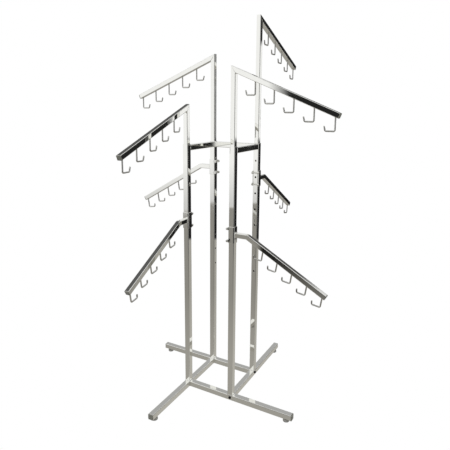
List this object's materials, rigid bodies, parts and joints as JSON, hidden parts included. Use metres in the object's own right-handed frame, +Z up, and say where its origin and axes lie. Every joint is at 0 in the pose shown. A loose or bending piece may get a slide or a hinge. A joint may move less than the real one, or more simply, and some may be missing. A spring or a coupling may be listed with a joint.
{
  "type": "four way clothing rack",
  "caption": "Chrome clothing rack: telescoping square posts on a pinwheel floor frame, each with a sloping hook arm on top and another clamped lower down.",
  "frame": {"origin": "on the floor, midway between the four posts", "axes": "+Z up; +X runs from the front left post to the front right one, and +Y from the front left post to the back left one"},
  "size_m": [1.1158, 1.1158, 1.7342],
  "materials": {
    "frame_chrome": "bright chrome plate on square steel tube",
    "arm_chrome": "bright chrome plate on tube and wire",
    "bracket_chrome": "chrome plate on pressed steel",
    "bolt_steel": "zinc plated steel",
    "black_steel": "steel bolts with black oxide",
    "button_steel": "nickel plated steel",
    "cap_plastic": "moulded olive grey plastic",
    "glide_plastic": "moulded grey plastic"
  },
  "bodies": {
    "floor_frame": {"leg_tube_front_left": "frame_chrome", "post_tube_front_left": "frame_chrome", "leg_cap_front_left": "cap_plastic", "corner_bolt_front_left": "black_steel", "leg_tube_front_right": "frame_chrome", "post_tube_front_right": "frame_chrome", "leg_cap_front_right": "cap_plastic", "corner_bolt_front_right": "black_steel", "leg_tube_back_right": "frame_chrome", "post_tube_back_right": "frame_chrome", "leg_cap_back_right": "cap_plastic", "corner_bolt_back_right": "black_steel", "leg_tube_back_left": "frame_chrome", "post_tube_back_left": "frame_chrome", "leg_cap_back_left": "cap_plastic", "corner_bolt_back_left": "black_steel", "crossbar_left": "frame_chrome", "crossbar_right": "frame_chrome", "crossbar_back": "frame_chrome"},
    "telescope_front_left": {"inner_post_front_left": "arm_chrome", "top_arm_front_left": "arm_chrome", "top_arm_cap_front_left": "cap_plastic"},
    "button_front_left": {"snap_button_front_left": "button_steel"},
    "low_arm_front_left": {"clamp_bracket_front_left": "bracket_chrome", "lower_arm_front_left": "arm_chrome", "lower_arm_cap_front_left": "cap_plastic", "clamp_bolt_upper_front_left": "bolt_steel", "clamp_bolt_lower_front_left": "bolt_steel"},
    "glide_front_left": {"floor_glide_front_left": "glide_plastic"},
    "telescope_front_right": {"inner_post_front_right": "arm_chrome", "top_arm_front_right": "arm_chrome", "top_arm_cap_front_right": "cap_plastic"},
    "button_front_right": {"snap_button_front_right": "button_steel"},
    "low_arm_front_right": {"clamp_bracket_front_right": "bracket_chrome", "lower_arm_front_right": "arm_chrome", "lower_arm_cap_front_right": "cap_plastic", "clamp_bolt_upper_front_right": "bolt_steel", "clamp_bolt_lower_front_right": "bolt_steel"},
    "glide_front_right": {"floor_glide_front_right": "glide_plastic"},
    "telescope_back_right": {"inner_post_back_right": "arm_chrome", "top_arm_back_right": "arm_chrome", "top_arm_cap_back_right": "cap_plastic"},
    "button_back_right": {"snap_button_back_right": "button_steel"},
    "low_arm_back_right": {"clamp_bracket_back_right": "bracket_chrome", "lower_arm_back_right": "arm_chrome", "lower_arm_cap_back_right": "cap_plastic", "clamp_bolt_upper_back_right": "bolt_steel", "clamp_bolt_lower_back_right": "bolt_steel"},
    "glide_back_right": {"floor_glide_back_right": "glide_plastic"},
    "telescope_back_left": {"inner_post_back_left": "arm_chrome", "top_arm_back_left": "arm_chrome", "top_arm_cap_back_left": "cap_plastic"},
    "button_back_left": {"snap_button_back_left": "button_steel"},
    "low_arm_back_left": {"clamp_bracket_back_left": "bracket_chrome", "lower_arm_back_left": "arm_chrome", "lower_arm_cap_back_left": "cap_plastic", "clamp_bolt_upper_back_left": "bolt_steel", "clamp_bolt_lower_back_left": "bolt_steel"},
    "glide_back_left": {"floor_glide_back_left": "glide_plastic"}
  },
  "joints": [
    {"name": "post_height_front_left", "type": "slide", "parent": "floor_frame", "child": "telescope_front_left", "axis": [0, 0, 1], "range_m": [-0.14, 0.381]},
    {"name": "button_press_front_left", "type": "slide", "parent": "telescope_front_left", "child": "button_front_left", "axis": [0, 1, 0], "range_m": [-0.003, 0.0034], "stiffness_N_per_m": 400},
    {"name": "lower_arm_height_front_left", "type": "slide", "parent": "floor_frame", "child": "low_arm_front_left", "axis": [0, 0, 1], "range_m": [-0.4186, 0.2314]},
    {"name": "glide_screw_front_left", "type": "slide", "parent": "floor_frame", "child": "glide_front_left", "axis": [0, 0, 1], "range_m": [-0.008, 0]},
    {"name": "post_height_front_right", "type": "slide", "parent": "floor_frame", "child": "telescope_front_right", "axis": [0, 0, 1], "range_m": [-0.2924, 0.2286]},
    {"name": "button_press_front_right", "type": "slide", "parent": "telescope_front_right", "child": "button_front_right", "axis": [-1, 0, 0], "range_m": [-0.003, 0.0034], "stiffness_N_per_m": 400},
    {"name": "lower_arm_height_front_right", "type": "slide", "parent": "floor_frame", "child": "low_arm_front_right", "axis": [0, 0, 1], "range_m": [-0.3834, 0.2666]},
    {"name": "glide_screw_front_right", "type": "slide", "parent": "floor_frame", "child": "glide_front_right", "axis": [0, 0, 1], "range_m": [-0.008, 0]},
    {"name": "post_height_back_right", "type": "slide", "parent": "floor_frame", "child": "telescope_back_right", "axis": [0, 0, 1], "range_m": [-0.521, 0]},
    {"name": "button_press_back_right", "type": "slide", "parent": "telescope_back_right", "child": "button_back_right", "axis": [0, -1, 0], "range_m": [-0.003, 0.0034], "stiffness_N_per_m": 400},
    {"name": "lower_arm_height_back_right", "type": "slide", "parent": "floor_frame", "child": "low_arm_back_right", "axis": [0, 0, 1], "range_m": [-0.5978, 0.0522]},
    {"name": "glide_screw_back_right", "type": "slide", "parent": "floor_frame", "child": "glide_back_right", "axis": [0, 0, 1], "range_m": [-0.008, 0]},
    {"name": "post_height_back_left", "type": "slide", "parent": "floor_frame", "child": "telescope_back_left", "axis": [0, 0, 1], "range_m": [-0.3686, 0.1524]},
    {"name": "button_press_back_left", "type": "slide", "parent": "telescope_back_left", "child": "button_back_left", "axis": [1, 0, 0], "range_m": [-0.003, 0.0034], "stiffness_N_per_m": 400},
    {"name": "lower_arm_height_back_left", "type": "slide", "parent": "floor_frame", "child": "low_arm_back_left", "axis": [0, 0, 1], "range_m": [-0.6355, 0.0145]},
    {"name": "glide_screw_back_left", "type": "slide", "parent": "floor_frame", "child": "glide_back_left", "axis": [0, 0, 1], "range_m": [-0.008, 0]}
  ]
}
